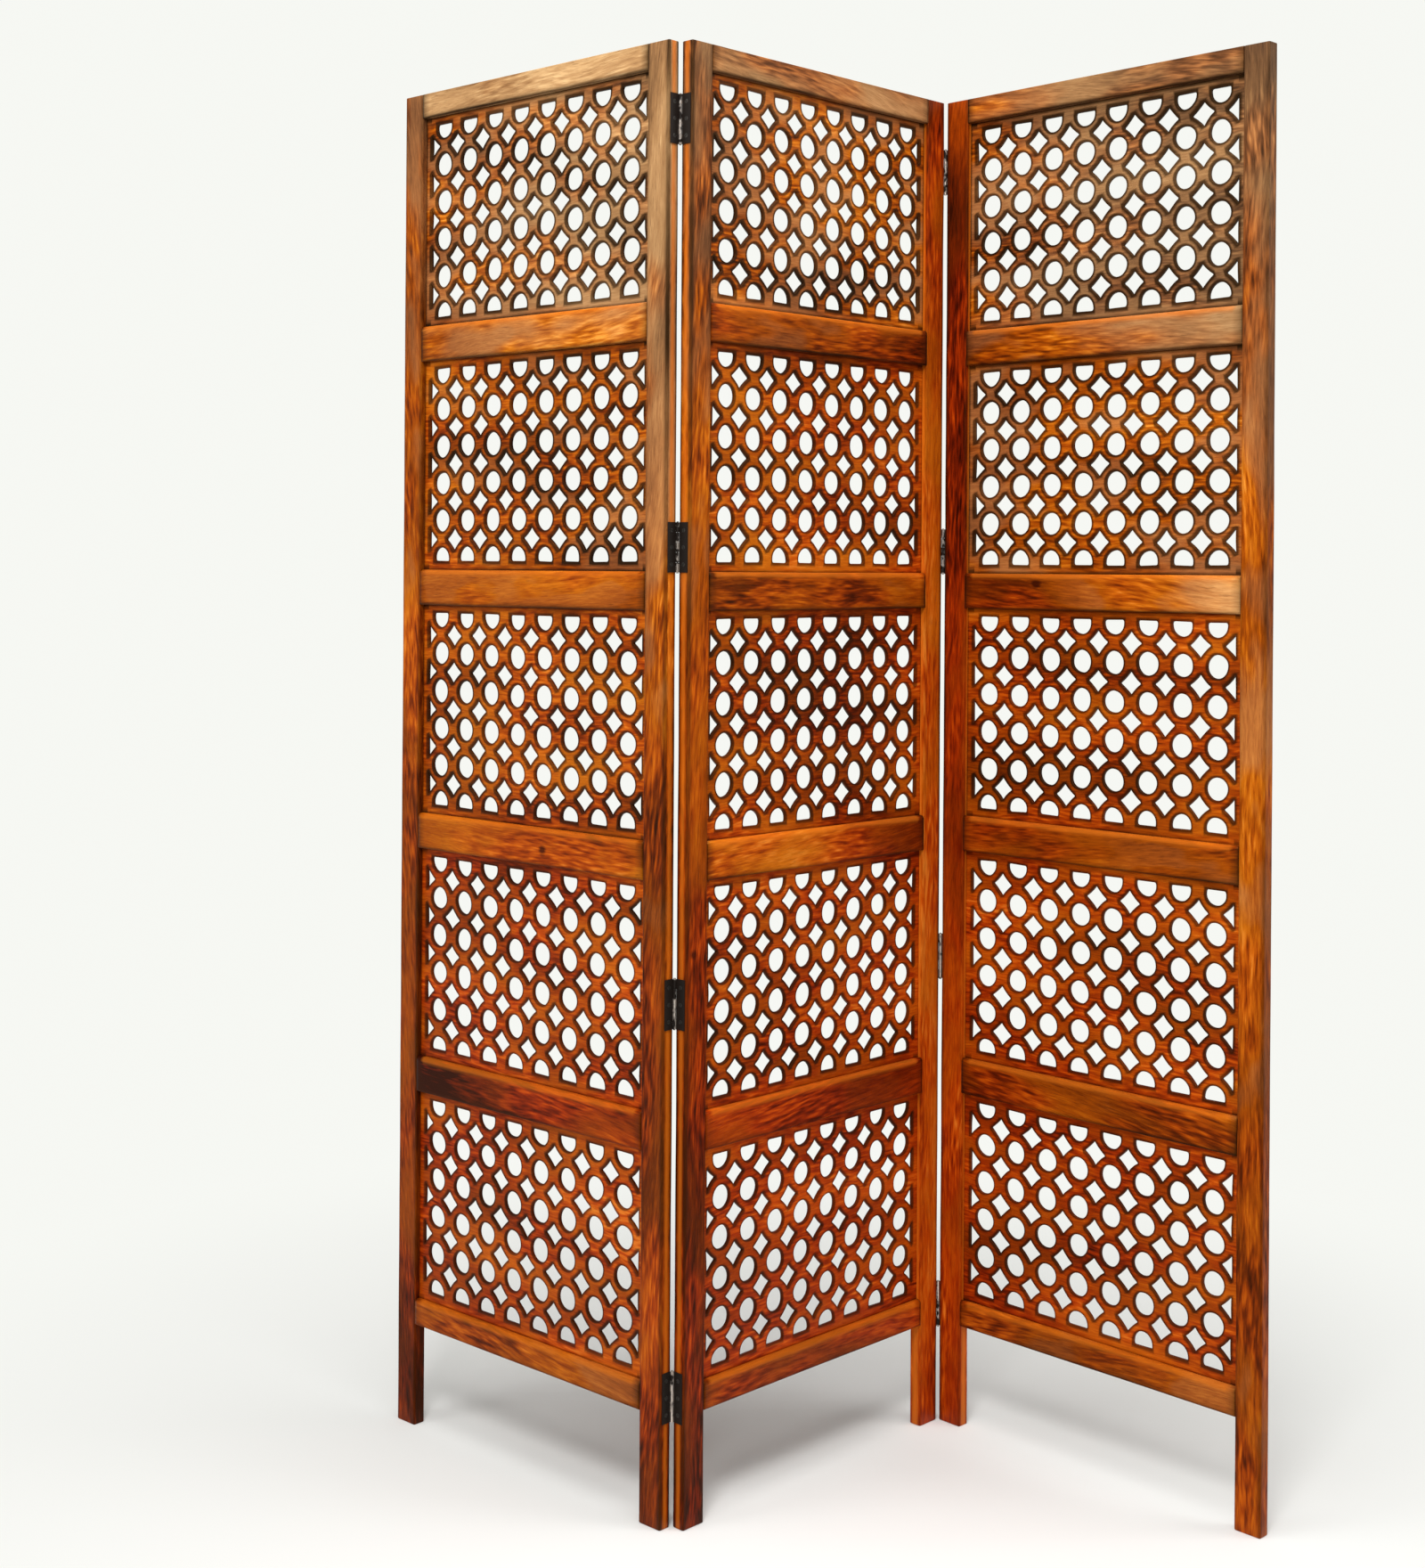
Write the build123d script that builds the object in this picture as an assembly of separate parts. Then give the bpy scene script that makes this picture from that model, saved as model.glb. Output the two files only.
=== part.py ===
from build123d import *
import os
from math import sqrt

# A folding room screen of three equal panels. Each panel is a frame of two stiles and six rails
# round five pierced jali plates, and four butt hinges join it to its neighbour at each fold.
# X runs to the right, Y runs from the front to the back, Z is up, and the feet stand on Z = 0.

# Jali pattern: touching rings on a square grid, with a diamond between each four rings
ring_pitch = 50.8
ring_columns = 8
ring_rows = 4
ring_hole_radius = 14.8
diamond_reach = 15.2
half_ring_rise = 4.4
jali_side_border = 10.8
jali_top_border = 11.0
jali_bottom_border = 12.2
jali_thickness = 5.0

# Frame of a panel
jali_count = 5
frame_thickness = 18.0
stile_width = 36.0
top_rail_height = 33.0
middle_rail_height = 48.0
bottom_rail_height = 35.0
leg_height = 139.0
jali_setback = 7.5
stile_edge_radius = 2.0
rail_edge_radius = 1.2
sill_edge_radius = 4.5
foot_chamfer = 1.5
stile_top_chamfer = 1.0

# Joints of the frame: the jali edges sit in grooves, and the rails are tenoned into the stiles
groove_depth = 8.0
groove_end_gap = 0.5
groove_side_gap = 0.1
tenon_length = 19.5
tenon_thickness = 6.0
tenon_shoulder = 9.0
mortise_end_gap = 0.5
mortise_side_gap = 0.1

# Butt hinges: the leaves lie on the end faces of the stiles, and the axis lies just clear of
# the back faces at the left fold and of the front faces at the right fold
bottom_hinge_height = 161.0
lower_hinge_height = 644.0
upper_hinge_height = 1206.0
top_hinge_drop = 96.0
leaf_height = 62.0
leaf_thickness = 1.5
leaf_edge_inset = 2.5
knuckle_radius = 2.0
knuckle_count = 5
knuckle_end_gap = 0.3
knuckle_side_gap = 0.4
pin_radius = 0.9
pin_clearance = 0.05
pin_standoff = 0.5
pin_head_radius = 1.5
pin_head_height = 0.8
pin_head_gap = 0.1

# Countersunk screws, three to a leaf
screws_per_leaf = 3
screw_spacing = 21.0
screw_shank_radius = 1.3
screw_head_radius = 2.8
screw_length = 14.0
screw_tip_length = 3.0
screw_clearance = 0.1

# How the screen stands: the angle between the panels at each fold, and the turn of the centre
left_fold_angle = 92.0
right_fold_angle = 89.0
centre_panel_turn = 44.5

# Sizes that follow
opening_width = ring_columns * ring_pitch + 2 * jali_side_border
field_height = (ring_rows + 1) * ring_pitch + 2 * half_ring_rise
opening_height = field_height + jali_top_border + jali_bottom_border
panel_width = opening_width + 2 * stile_width
opening_step = opening_height + middle_rail_height
lowest_opening = leg_height + bottom_rail_height
frame_top_opening = lowest_opening + jali_count * opening_step - middle_rail_height
panel_height = frame_top_opening + top_rail_height
jali_middle_depth = jali_setback + jali_thickness / 2
jali_tongue = groove_depth - groove_end_gap
hinge_heights = [
    bottom_hinge_height,
    lower_hinge_height,
    upper_hinge_height,
    panel_height - top_hinge_drop,
]
leaf_width = frame_thickness - leaf_edge_inset + pin_standoff
screw_line = pin_standoff + frame_thickness / 2


def block(x_range, y_range, z_range):
    """A box between two limits on each axis."""
    size = [high - low for low, high in (x_range, y_range, z_range)]
    start = [low for low, high in (x_range, y_range, z_range)]
    return Pos(*start) * Box(*size, align=(Align.MIN, Align.MIN, Align.MIN))


def screw_heights():
    """Heights of a leaf's screws above and below its middle."""
    middle = (screws_per_leaf - 1) / 2
    return [(index - middle) * screw_spacing for index in range(screws_per_leaf)]


# ---- jali plate ------------------------------------------------------------------------------

def ring_hole(x, z):
    return Pos(x, z) * Circle(ring_hole_radius)


def half_ring_hole(x, z, side):
    """A half round hole whose straight sides run past the ring's centre to a flat end."""
    left = (x - ring_hole_radius, z)
    right = (x + ring_hole_radius, z)
    end = z + side * half_ring_rise
    curve = ThreePointArc(left, (x, z - side * ring_hole_radius), right)
    sides = Polyline(right, (right[0], end), (left[0], end), left)
    return make_face([curve, sides])


def diamond_hole(x, z):
    side = diamond_reach * sqrt(2)
    return Pos(x, z) * Rot(0, 0, 45) * Rectangle(side, side)


def half_diamond_hole(x, z, inward):
    """A diamond cut in half by the side border, with one tip pointing inward."""
    low, high, tip = (x, z - diamond_reach), (x, z + diamond_reach), (x + inward * diamond_reach, z)
    return make_face(Polyline(low, high, tip, close=True))


def jali_holes():
    """Every opening of a jali plate, with the plate's pattern centred on the origin."""
    ring_x = [(column - (ring_columns - 1) / 2) * ring_pitch for column in range(ring_columns)]
    ring_z = [(row - (ring_rows - 1) / 2) * ring_pitch for row in range(ring_rows)]
    gap_x = [x + ring_pitch / 2 for x in ring_x[:-1]]
    gap_z = [(row - ring_rows / 2) * ring_pitch for row in range(ring_rows + 1)]
    half_z = (ring_rows + 1) / 2 * ring_pitch
    side_x = ring_columns / 2 * ring_pitch
    holes = [ring_hole(x, z) for x in ring_x for z in ring_z]
    holes += [half_ring_hole(x, side * half_z, side) for x in ring_x for side in (-1, 1)]
    holes += [diamond_hole(x, z) for x in gap_x for z in gap_z]
    holes += [half_diamond_hole(side * side_x, z, -side) for z in gap_z for side in (-1, 1)]
    return holes


def make_jali():
    """A pierced plate with its opening's lower left corner at the origin, tongues outside it."""
    plate_width = opening_width + 2 * jali_tongue
    plate_height = opening_height + 2 * jali_tongue
    field_middle = jali_bottom_border + field_height / 2
    outline = Pos(0, opening_height / 2 - field_middle) * Rectangle(plate_width, plate_height)
    inner_wires = [hole.face().outer_wire() for hole in jali_holes()]
    plate = Face(outline.face().outer_wire(), inner_wires)
    upright = Plane((0, jali_setback + jali_thickness, field_middle), (1, 0, 0), (0, -1, 0))
    return extrude(upright * plate, jali_thickness)


# ---- frame members ---------------------------------------------------------------------------

def opening_bottoms():
    return [lowest_opening + index * opening_step for index in range(jali_count)]


def rail_spans():
    """Bottom and top height of each rail, from the bottom rail up."""
    spans = [(leg_height, lowest_opening)]
    for bottom in opening_bottoms()[:-1]:
        top = bottom + opening_height
        spans.append((top, top + middle_rail_height))
    spans.append((frame_top_opening, panel_height))
    return spans


def centred(middle, size, gap):
    """The two limits of a slot of a size about a middle, with a gap on both sides."""
    return (middle - size / 2 - gap, middle + size / 2 + gap)


def make_stile(has_hinges):
    """A stile with its end face at x = 0 and its inner edge at x = stile_width."""
    post = block((0, stile_width), (0, frame_thickness), (0, panel_height))
    post = fillet(post.edges().filter_by(Axis.Z), stile_edge_radius)
    post = chamfer(post.faces().sort_by(Axis.Z)[0].edges(), foot_chamfer)
    post = chamfer(post.faces().sort_by(Axis.Z)[-1].edges(), stile_top_chamfer)
    groove_y = centred(jali_middle_depth, jali_thickness, groove_side_gap)
    groove_x = (stile_width - groove_depth, stile_width)
    mortise_y = centred(jali_middle_depth, tenon_thickness, mortise_side_gap)
    mortise_x = (stile_width - tenon_length - mortise_end_gap, stile_width)
    cuts = []
    for bottom in opening_bottoms():
        top = bottom + opening_height
        cuts.append(block(groove_x, groove_y, (bottom - groove_depth, top + groove_depth)))
    for bottom, top in rail_spans():
        tenon_height = top - bottom - 2 * tenon_shoulder
        mortise_z = centred((bottom + top) / 2, tenon_height, mortise_side_gap)
        cuts.append(block(mortise_x, mortise_y, mortise_z))
    if has_hinges:
        pilot = Cylinder(screw_shank_radius + screw_clearance, screw_length)
        for height in hinge_heights:
            for offset in screw_heights():
                place = Pos(screw_length / 2, frame_thickness / 2, height + offset)
                cuts.append(place * Rot(0, 90, 0) * pilot)
    return post.cut(*cuts)


def make_rail(bottom, top):
    """A rail between the stiles, with a tenon at each end and a groove toward each jali."""
    half_width = opening_width / 2
    bar = block((-half_width, half_width), (0, frame_thickness), (bottom, top))
    has_jali_above = top < panel_height
    has_jali_below = bottom > leg_height
    low_edges, high_edges = bar.edges().filter_by(Axis.X).group_by(Axis.Z)
    bar = fillet(low_edges + high_edges.sort_by(Axis.Y)[-1:], rail_edge_radius)
    upper_front = bar.edges().filter_by(Axis.X).group_by(Axis.Y)[0].sort_by(Axis.Z)[-1]
    bar = fillet(upper_front, sill_edge_radius if has_jali_above else rail_edge_radius)
    tenon_y = centred(jali_middle_depth, tenon_thickness, 0)
    tenon_z = (bottom + tenon_shoulder, top - tenon_shoulder)
    tenon_end = half_width + tenon_length
    bar = bar + block((-tenon_end, tenon_end), tenon_y, tenon_z)
    groove_y = centred(jali_middle_depth, jali_thickness, groove_side_gap)
    groove_x = (-half_width, half_width)
    if has_jali_above:
        bar = bar - block(groove_x, groove_y, (top - groove_depth, top))
    if has_jali_below:
        bar = bar - block(groove_x, groove_y, (bottom, bottom + groove_depth))
    return bar


# ---- hinges ----------------------------------------------------------------------------------

def knuckle_span(index):
    """Lower and upper end of one knuckle, measured from the hinge's middle."""
    step = leaf_height / knuckle_count
    low = index * step - leaf_height / 2
    return (low + knuckle_end_gap / 2, low + step - knuckle_end_gap / 2)


def make_leaf(own_knuckles):
    """A leaf lying on an end face at x = 0, its pin on the line y = 0 at x = knuckle_radius."""
    half_height = leaf_height / 2
    notch_depth = knuckle_radius + knuckle_side_gap
    leaf = block((0, leaf_thickness), (notch_depth, leaf_width), (-half_height, half_height))
    for index in own_knuckles:
        low, high = knuckle_span(index)
        barrel = Pos(knuckle_radius, 0, (low + high) / 2) * Cylinder(knuckle_radius, high - low)
        leaf = leaf + barrel + block((0, leaf_thickness), (0, notch_depth), (low, high))
    bore = Cylinder(pin_radius + pin_clearance, leaf_height)
    cuts = [Pos(knuckle_radius, 0, 0) * bore]
    seat = Cone(
        screw_shank_radius + screw_clearance,
        screw_head_radius + screw_clearance,
        leaf_thickness,
    )
    for height in screw_heights():
        cuts.append(Pos(leaf_thickness / 2, screw_line, height) * Rot(0, 90, 0) * seat)
    return leaf.cut(*cuts)


def make_pin():
    """A hinge pin about the Z axis with a flat head beyond the knuckles at each end."""
    head_low = leaf_height / 2 + pin_head_gap
    head_high = head_low + pin_head_height
    profile = Polyline(
        (0, -head_high),
        (pin_head_radius, -head_high),
        (pin_head_radius, -head_low),
        (pin_radius, -head_low),
        (pin_radius, head_low),
        (pin_head_radius, head_low),
        (pin_head_radius, head_high),
        (0, head_high),
        close=True,
    )
    return revolve(Plane.XZ * make_face(profile), Axis.Z)


def make_screw():
    """A countersunk screw along -X with the flat of its head on the leaf's outer face."""
    tip = leaf_thickness - screw_length
    profile = Polyline(
        (leaf_thickness, 0),
        (leaf_thickness, screw_head_radius),
        (0, screw_shank_radius),
        (tip + screw_tip_length, screw_shank_radius),
        (tip, 0),
        close=True,
    )
    return revolve(make_face(profile), Axis.X)


# ---- panels ----------------------------------------------------------------------------------

end_x = panel_width / 2
back_pin_y = frame_thickness + pin_standoff
front_pin_y = -pin_standoff

# Where a leaf goes in its panel's own frame, by the end of the panel and the side of its pin
leaf_places = {
    ("right", "back"): Pos(end_x, back_pin_y, 0) * Rot(180, 0, 0),
    ("left", "back"): Pos(-end_x, back_pin_y, 0) * Rot(0, 0, 180),
    ("right", "front"): Pos(end_x, front_pin_y, 0),
    ("left", "front"): Pos(-end_x, front_pin_y, 0) * Rot(0, 180, 0),
}


def pin_point(end, side):
    """The pin axis in the panel's own frame."""
    reach = end_x + knuckle_radius
    return Vector(reach if end == "right" else -reach, back_pin_y if side == "back" else front_pin_y)


def turned(point, angle):
    return point.rotate(Axis.Z, angle)


centre_turn = centre_panel_turn
left_turn = centre_turn - (180 - left_fold_angle)
right_turn = centre_turn - (180 - right_fold_angle)
left_pin = turned(pin_point("left", "back"), centre_turn)
right_pin = turned(pin_point("right", "front"), centre_turn)
left_middle = left_pin - turned(pin_point("right", "back"), left_turn)
right_middle = right_pin - turned(pin_point("left", "front"), right_turn)

panel_places = {
    "left": Pos(left_middle.X, left_middle.Y, 0) * Rot(0, 0, left_turn),
    "centre": Rot(0, 0, centre_turn),
    "right": Pos(right_middle.X, right_middle.Y, 0) * Rot(0, 0, right_turn),
}

# The hinged ends of each panel: (end, side of the pin, fold)
hinged_ends = {
    "left": [("right", "back", "left_fold")],
    "centre": [("left", "back", "left_fold"), ("right", "front", "right_fold")],
    "right": [("left", "front", "right_fold")],
}


def frame_nodes(panel):
    """Stiles, rails and jalis of one panel in its own frame, by node name."""
    nodes = {}
    ends = [end for end, side, fold in hinged_ends[panel]]
    left_stile = make_stile("left" in ends)
    right_stile = make_stile("right" in ends)
    nodes[f"{panel}_panel_left_stile"] = Pos(-end_x, 0, 0) * left_stile
    nodes[f"{panel}_panel_right_stile"] = Pos(end_x, 0, 0) * mirror(right_stile, Plane.YZ)
    spans = rail_spans()
    names = ["bottom_rail"]
    names += [f"middle_rail_{number}" for number in range(jali_count - 1, 0, -1)]
    names += ["top_rail"]
    for name, (bottom, top) in zip(names, spans):
        nodes[f"{panel}_panel_{name}"] = make_rail(bottom, top)
    jali = make_jali()
    for number, bottom in zip(range(jali_count, 0, -1), opening_bottoms()):
        nodes[f"{panel}_panel_jali_{number}"] = Pos(0, 0, bottom) * jali
    return nodes


def hinge_nodes(panel):
    """Leaves of one panel in its own frame and its screws as one group, by node name."""
    nodes = {}
    screws = []
    knuckles = range(0, knuckle_count, 2) if panel == "centre" else range(1, knuckle_count, 2)
    leaf = make_leaf(knuckles)
    screw = make_screw()
    for end, side, fold in hinged_ends[panel]:
        for number, height in zip(range(len(hinge_heights), 0, -1), hinge_heights):
            place = Pos(0, 0, height) * leaf_places[(end, side)]
            nodes[f"{fold}_hinge_{number}_{panel}_leaf"] = place * leaf
            for offset in screw_heights():
                screws.append(place * Pos(0, screw_line, offset) * screw)
    nodes[f"{panel}_panel_screws"] = Compound(screws)
    return nodes


def pin_nodes():
    """The pins of both folds, in the centre panel's frame."""
    nodes = {}
    pin = make_pin()
    for end, side, fold in hinged_ends["centre"]:
        axis = pin_point(end, side)
        pins = [Pos(axis.X, axis.Y, height) * pin for height in hinge_heights]
        nodes[f"{fold}_pins"] = Compound(pins)
    return nodes


parts = {}
for panel, place in panel_places.items():
    nodes = frame_nodes(panel) | hinge_nodes(panel)
    if panel == "centre":
        nodes |= pin_nodes()
    for name, solid in nodes.items():
        parts[name] = place * solid

# The origin is on the floor in the middle of the space that the standing screen takes up
stiles = Compound([solid for name, solid in parts.items() if name.endswith("stile")])
footprint = stiles.bounding_box()
to_origin = Pos(-footprint.center().X, -footprint.center().Y, 0)

os.makedirs("parts", exist_ok=True)
for name, solid in parts.items():
    node = to_origin * solid
    node.label = name
    export_step(node, f"parts/{name}.step")

left_axis = to_origin.position + left_pin
right_axis = to_origin.position + right_pin
print(len(parts), "nodes")
print("left fold axis", round(left_axis.X, 3), round(left_axis.Y, 3))
print("right fold axis", round(right_axis.X, 3), round(right_axis.Y, 3))
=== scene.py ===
import math
from functools import partial
from random import Random

import bmesh
import bpy
from mathutils import Matrix, Vector, noise


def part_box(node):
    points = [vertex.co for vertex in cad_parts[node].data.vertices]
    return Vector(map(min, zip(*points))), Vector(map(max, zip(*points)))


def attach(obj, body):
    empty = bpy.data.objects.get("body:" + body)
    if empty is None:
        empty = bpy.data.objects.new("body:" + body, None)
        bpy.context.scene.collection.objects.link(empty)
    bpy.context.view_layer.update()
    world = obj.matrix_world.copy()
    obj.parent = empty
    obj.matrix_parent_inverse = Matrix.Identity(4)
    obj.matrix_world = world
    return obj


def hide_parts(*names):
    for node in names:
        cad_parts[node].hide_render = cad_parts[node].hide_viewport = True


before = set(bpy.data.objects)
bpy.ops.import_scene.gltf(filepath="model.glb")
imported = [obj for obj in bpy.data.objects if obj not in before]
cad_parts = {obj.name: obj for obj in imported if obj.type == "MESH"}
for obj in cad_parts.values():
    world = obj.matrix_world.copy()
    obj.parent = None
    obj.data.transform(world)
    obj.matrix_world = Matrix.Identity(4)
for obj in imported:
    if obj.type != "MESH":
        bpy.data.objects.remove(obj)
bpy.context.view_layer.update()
scene = bpy.context.scene
panelNames = ["left", "centre", "right"]


# where things are, read from the frame

# metres; x across the panel from its middle, y from the front face back, z up
timber = {
    "stileWidth": 0.036,
    "thickness": 0.018,
    "legHeight": 0.139,
    "bottomRailHeight": 0.035,
    "middleRailHeight": 0.048,
    "topRailHeight": 0.033,
    "openingCount": 5,
    "plateSetback": 0.0075,
}


def boxCentre(node):
    low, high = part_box(node)
    return (low + high) / 2


# from a panel's own axes to the row frame
def panelPlace(panel):
    left = boxCentre(f"{panel}_panel_left_stile")
    right = boxCentre(f"{panel}_panel_right_stile")
    run = right - left
    turn = math.atan2(run.y, run.x)
    middle = (left + right) / 2
    toMiddle = Matrix.Translation((middle.x, middle.y, 0))
    toFront = Matrix.Translation((0, -timber["thickness"] / 2, 0))
    return toMiddle @ Matrix.Rotation(turn, 4, "Z") @ toFront


places = {panel: panelPlace(panel) for panel in panelNames}
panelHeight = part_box("centre_panel_left_stile")[1].z
stileRun = boxCentre("centre_panel_right_stile") - boxCentre("centre_panel_left_stile")
panelWidth = stileRun.length + timber["stileWidth"]
openingWidth = panelWidth - 2 * timber["stileWidth"]
lowestOpening = timber["legHeight"] + timber["bottomRailHeight"]
railsBetween = (timber["openingCount"] - 1) * timber["middleRailHeight"]
openingsTotal = panelHeight - timber["topRailHeight"] - lowestOpening - railsBetween
openingHeight = openingsTotal / timber["openingCount"]
openingStep = openingHeight + timber["middleRailHeight"]
print("panel", round(panelWidth, 4), "opening", round(openingWidth, 4), round(openingHeight, 4))

# how far a board leans to pale honey (1) or to dark walnut (-1), and how red (1) it is or how far
# painted glare greys it (-1), at even steps from its low or left end; the greying on the upper
# boards and plates and the pale honey of the left panel's top rail are painted glare; boards that
# aren't named look like their panel
looks = {
    "left_panel": [(0.05, 0.3)],
    "centre_panel": [(-0.05, 0.5)],
    "right_panel": [(0.00, 0.5)],
    "left_panel_top_rail": [(0.90, -1.2), (0.75, -1.3)],
    "left_panel_left_stile": [(-0.75, 0.6), (-0.10, 0.2), (0.00, 0.1), (-0.60, -0.4)],
    "left_panel_right_stile": [(-0.30, 0.5), (-0.60, 0.3), (-0.05, -0.2), (0.00, -1.2)],
    "left_panel_middle_rail_1": [(0.30, -0.1), (0.40, -0.4)],
    "left_panel_middle_rail_2": [(0.00, 0.2)],
    "left_panel_middle_rail_4": [(-1.30, 0.7), (-0.20, 0.7)],
    "left_panel_bottom_rail": [(-0.30, 0.1), (-0.05, 0.1)],
    "left_panel_jali_1": [(-0.05, -0.2), (0.15, -0.6), (0.05, -0.9)],
    "left_panel_jali_2": [(0.00, 0.2), (0.05, -0.1)],
    "left_panel_jali_3": [(0.10, 0.3), (0.15, 0.3)],
    "left_panel_jali_4": [(-0.10, 0.7), (0.25, 0.6)],
    "left_panel_jali_5": [(0.00, 0.8), (0.35, 0.6)],
    "centre_panel_top_rail": [(0.00, -0.8), (-0.20, -0.5)],
    "centre_panel_middle_rail_1": [(-0.35, 0.2), (0.10, 0.0), (-0.45, 0.5)],
    "centre_panel_middle_rail_2": [(-0.40, 0.0), (0.20, 0.3)],
    "centre_panel_middle_rail_3": [(0.30, 0.2), (0.15, 0.4), (-0.55, 0.9)],
    "centre_panel_middle_rail_4": [(-0.50, 0.9), (-0.35, 1.0)],
    "centre_panel_bottom_rail": [(-0.30, 0.5), (-0.30, 0.8)],
    "centre_panel_left_stile": [(-0.80, 0.7), (-0.60, 0.6), (0.05, 0.1), (-0.60, -0.7)],
    "centre_panel_right_stile": [(0.00, 1.1), (0.75, 0.8), (0.85, 0.6), (-0.85, 0.6)],
    "centre_panel_jali_1": [(-0.15, -0.2), (0.20, -0.2)],
    "centre_panel_jali_2": [(0.15, 0.3), (0.05, 0.6)],
    "centre_panel_jali_3": [(0.10, 0.4), (-0.15, 0.5), (-0.55, 0.5), (-0.05, 0.7)],
    "centre_panel_jali_4": [(0.15, 0.6), (0.25, 0.9)],
    "centre_panel_jali_5": [(0.15, 0.9), (0.20, 1.1)],
    "right_panel_left_stile": [(0.15, 1.1), (-0.10, 1.0), (-0.25, 1.0), (-0.70, 0.8)],
    "right_panel_right_stile": [
        (0.30, 0.2), (-0.45, 0.1), (-0.05, 0.1), (0.15, 0.0), (0.10, -0.1), (-0.15, -0.4),
        (-1.30, -1.2),
    ],
    "right_panel_top_rail": [(0.30, -0.3), (0.00, -0.9), (-0.45, -0.9)],
    "right_panel_middle_rail_1": [(-0.25, 0.0), (0.15, -0.8)],
    "right_panel_middle_rail_2": [(-0.20, 0.6), (0.70, -0.3)],
    "right_panel_middle_rail_3": [(0.05, 0.5), (0.15, 0.1)],
    "right_panel_middle_rail_4": [(-0.45, 0.5), (0.00, 0.1)],
    "right_panel_bottom_rail": [(-0.15, 0.2), (0.00, 0.1)],
    "right_panel_jali_1": [(-0.05, -0.3), (-0.25, -0.8), (-0.60, -1.1)],
    "right_panel_jali_2": [(-0.10, -0.2), (0.05, 0.0), (-0.20, -0.3)],
    "right_panel_jali_3": [(-0.05, 0.5), (-0.15, 0.4)],
    "right_panel_jali_4": [(0.05, 0.8), (0.15, 0.5)],
    "right_panel_jali_5": [(-0.05, 0.9), (0.10, 0.6)],
}

# knots by board: how far along it and across it from its middle
knots = {
    "left_panel_middle_rail_3": (0.247, -0.004),
    "centre_panel_left_stile": (0.705, -0.006),
    "right_panel_middle_rail_2": (0.120, 0.009),
}


# small helpers

def newObject(name, data):
    piece = bpy.data.objects.new(name, data)
    scene.collection.objects.link(piece)
    return piece


def meshOf(shell, name):
    mesh = bpy.data.meshes.new(name)
    shell.to_mesh(mesh)
    shell.free()
    return mesh


def outwardFaces(mesh):
    shell = bmesh.new()
    shell.from_mesh(mesh)
    bmesh.ops.recalc_face_normals(shell, faces=shell.faces)
    shell.to_mesh(mesh)
    shell.free()


# ties a finished piece to its body, and hides the nodes that it stands for
def dress(piece, panel, slot, *nodes):
    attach(piece, f"{panel}_panel")
    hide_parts(*nodes)


def addNode(tree, kind, inputs=None, **settings):
    node = tree.nodes.new(kind)
    for key, value in settings.items():
        setattr(node, key, value)
    for key, value in (inputs or {}).items():
        if isinstance(value, bpy.types.NodeSocket):
            tree.links.new(value, node.inputs[key])
        else:
            node.inputs[key].default_value = value
    return node


def mathNode(tree, operation, a, b=0.0, clamp=False):
    settings = {"operation": operation, "use_clamp": clamp}
    return addNode(tree, "ShaderNodeMath", {0: a, 1: b}, **settings).outputs[0]


def vectorNode(tree, operation, a, b=(0, 0, 0)):
    return addNode(tree, "ShaderNodeVectorMath", {0: a, 1: b}, operation=operation).outputs


def combineNode(tree, x=0.0, y=0.0, z=0.0):
    return addNode(tree, "ShaderNodeCombineXYZ", {0: x, 1: y, 2: z}).outputs[0]


# carries a value from the range low to high over to the range first to last
def rangeNode(tree, value, low, high, first=0.0, last=1.0, **settings):
    inputs = {"Value": value, "From Min": low, "From Max": high, "To Min": first, "To Max": last}
    return addNode(tree, "ShaderNodeMapRange", inputs, **settings).outputs[0]


# a geometry node by the end of its type's name
def shapeNode(tree, kind, inputs, **settings):
    return addNode(tree, f"GeometryNode{kind}", inputs, **settings).outputs[0]


def objectShape(tree, source):
    return addNode(tree, "GeometryNodeObjectInfo", {"Object": source}).outputs["Geometry"]


# an empty geometry tree with named inputs, and the sockets that bring them in
def newTree(name, sockets):
    tree = bpy.data.node_groups.new(name, "GeometryNodeTree")
    for label, kind, value in sockets:
        socket = tree.interface.new_socket(label, in_out="INPUT", socket_type=f"NodeSocket{kind}")
        if value is not None:
            socket.default_value = value
    tree.interface.new_socket("Result", in_out="OUTPUT", socket_type="NodeSocketGeometry")
    return tree, tree.nodes.new("NodeGroupInput").outputs


def endTree(tree, shape, material):
    shape = shapeNode(tree, "SetMaterial", {"Geometry": shape, "Material": material})
    tree.links.new(shape, tree.nodes.new("NodeGroupOutput").inputs[0])


# runs a geometry tree on a mesh and keeps what it makes as a plain mesh
def treeMesh(tree, start, values):
    holder = newObject("holder", start)
    modifier = holder.modifiers.new("tree", "NODES")
    modifier.node_group = tree
    # a modifier's input goes by the identifier of its socket
    for item in tree.interface.items_tree:
        if item.in_out == "INPUT" and item.name in values:
            modifier[item.identifier] = values[item.name]
    depsgraph = bpy.context.evaluated_depsgraph_get()
    mesh = bpy.data.meshes.new_from_object(holder.evaluated_get(depsgraph))
    holder.modifiers.clear()
    bpy.data.objects.remove(holder)
    return mesh


# an eased edge in three points, each with its way in from one face and from the other
def eased(size, middle=0.3):
    return [(size, 0), (size * middle, size * middle), (0, size)]


# jali plates

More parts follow.
